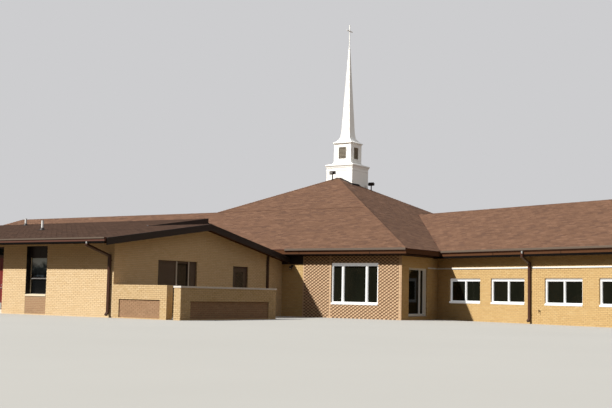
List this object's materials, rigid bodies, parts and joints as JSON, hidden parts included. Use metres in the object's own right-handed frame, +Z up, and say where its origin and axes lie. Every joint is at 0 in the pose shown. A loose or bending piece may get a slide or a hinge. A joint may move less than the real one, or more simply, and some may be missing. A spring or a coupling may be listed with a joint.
{
  "type": "modern church building, 1:2 scale model",
  "caption": "Low brick church with a square pyramid roof, a white steeple on its peak and low wings under shingle roofs.",
  "frame": {"origin": "on the ground, below the peak of the pyramid roof", "axes": "+X along the front walls to the right, +Y to the back, +Z up"},
  "size_m": [24.134, 14.942, 7.975],
  "materials": {
    "yellow_brick": "matt yellow face brick in a running bond",
    "orange_brick": "matt orange-yellow face brick in a running bond",
    "brown_brick": "matt brown brick with raised headers in a regular pattern",
    "shingle": "red-brown asphalt shingles with a grit surface",
    "white_metal": "white satin paint",
    "brown_metal": "dark brown satin paint",
    "black_metal": "near-black satin paint",
    "window_white": "white frame paint, with dark glass in the panes",
    "window_brown": "dark brown frame paint, with dark glass in the panes",
    "entry_door": "maroon satin paint",
    "court_door": "grey-brown stain",
    "concrete": "smooth grey concrete"
  },
  "bodies": {
    "building": {"hall_window_wall": "brown_brick", "long_south_wall": "yellow_brick", "hall_east_wall": "orange_brick", "hall_north_wall": "yellow_brick", "hall_west_wall": "yellow_brick", "hall_floor": "concrete", "hall_roof": "shingle", "rear_wing_roof": "shingle", "rear_wing_walls": "yellow_brick", "rear_wing_floor": "concrete", "right_wing_front_wall": "orange_brick", "right_wing_back_walls": "orange_brick", "right_wing_floor": "concrete", "right_wing_roof": "shingle", "right_wing_band": "white_metal", "right_wing_window_1": "window_white", "right_wing_window_2": "window_white", "right_wing_window_3": "window_white", "right_wing_window_4": "window_white", "left_wing_roof_front": "shingle", "left_wing_roof_back": "shingle", "left_wing_rake_board": "black_metal", "roof_vent_west": "white_metal", "roof_vent_east": "white_metal", "left_wing_front_wall_east": "yellow_brick", "left_wing_front_wall_west": "yellow_brick", "left_wing_entry_header": "yellow_brick", "gable_wall_south": "yellow_brick", "gable_door_header": "yellow_brick", "gable_wall_north": "yellow_brick", "left_wing_west_wall": "yellow_brick", "left_wing_back_wall": "yellow_brick", "left_wing_cross_wall": "yellow_brick", "left_wing_link_roof": "shingle", "left_wing_floor": "concrete", "picture_window": "window_white", "strip_window_1": "window_brown", "strip_window_2": "window_brown", "strip_window_3": "window_brown", "courtyard_window": "window_brown", "east_screen": "window_white", "left_entry_frame": "brown_metal", "courtyard_door_frame": "brown_metal", "courtyard_wall_south": "yellow_brick", "courtyard_wall_east": "yellow_brick", "courtyard_coping": "concrete", "steeple_base": "white_metal", "steeple_belfry": "white_metal", "steeple_spire": "white_metal", "steeple_cross": "white_metal", "floodlight_left": "black_metal", "floodlight_right": "black_metal", "left_gutter": "brown_metal", "hall_gutter": "brown_metal", "right_gutter": "brown_metal", "left_downspout": "brown_metal", "gable_downspout": "brown_metal", "right_downspout": "brown_metal"},
    "entry_leaf": {"left_entry_door": "entry_door"},
    "court_leaf": {"courtyard_door": "court_door"}
  },
  "joints": [
    {"name": "entry_hinge", "type": "hinge", "parent": "building", "child": "entry_leaf", "pos_m": [-2.1865, -9.725, 0.6], "axis": [0, 0, -1], "range_deg": [0, 90]},
    {"name": "court_hinge", "type": "hinge", "parent": "building", "child": "court_leaf", "pos_m": [1.3945, -5.773, 0.55], "axis": [0, 0, 1], "range_deg": [0, 90]}
  ]
}
